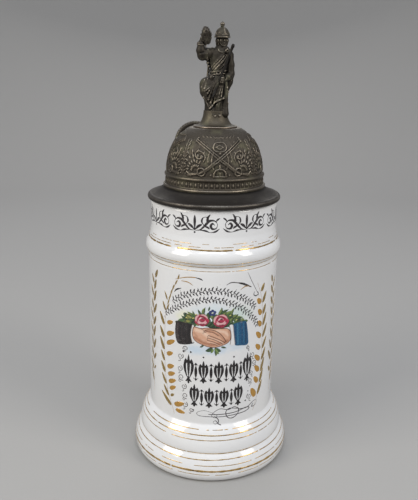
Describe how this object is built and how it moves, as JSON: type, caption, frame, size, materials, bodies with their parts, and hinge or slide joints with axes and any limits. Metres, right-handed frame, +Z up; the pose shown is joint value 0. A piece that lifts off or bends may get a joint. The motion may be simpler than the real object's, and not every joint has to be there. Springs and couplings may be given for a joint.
{
  "type": "lidded beer stein",
  "caption": "Tall porcelain beer stein with a stepped foot, a back handle and a hinged pewter lid carrying an embossed bell and a small standing figure.",
  "frame": {"origin": "centre of the foot ring's resting plane", "axes": "+Z up along the mug's axis, +Y towards the handle and the lid's hinge, +X along the hinge axis"},
  "size_m": [0.1006, 0.1315, 0.2657],
  "materials": {
    "porcelain": "white glazed porcelain, hard and glossy, with painted and gilt decoration",
    "bisque": "unglazed translucent porcelain",
    "relief_pewter": "cast pewter with a dark brown patina, worn bright on the relief",
    "dark_pewter": "turned pewter, nearly black, satin",
    "hinge_pewter": "cast pewter with a grey-brown patina",
    "steel": "plain drawn steel, dulled"
  },
  "bodies": {
    "mug": {"mug_body": "porcelain", "mug_handle": "porcelain", "lithophane_plate": "bisque", "handle_band": "hinge_pewter", "hinge_shank": "hinge_pewter", "hinge_pin": "steel", "pin_caps": "hinge_pewter"},
    "lid": {"lid_flange": "dark_pewter", "lid_bell": "relief_pewter", "lid_tang": "hinge_pewter", "thumb_lift": "hinge_pewter", "finial_pedestal": "relief_pewter", "figure_body": "relief_pewter", "figure_arm": "relief_pewter", "hop_cone": "relief_pewter", "figure_staff": "relief_pewter", "finial_stud": "steel", "finial_washer": "steel", "finial_nut": "steel"}
  },
  "joints": [
    {"name": "lid_hinge", "type": "hinge", "parent": "mug", "child": "lid", "pos_m": [0, 0.0485, 0.171], "axis": [-1, 0, 0], "range_deg": [0, 100]}
  ]
}
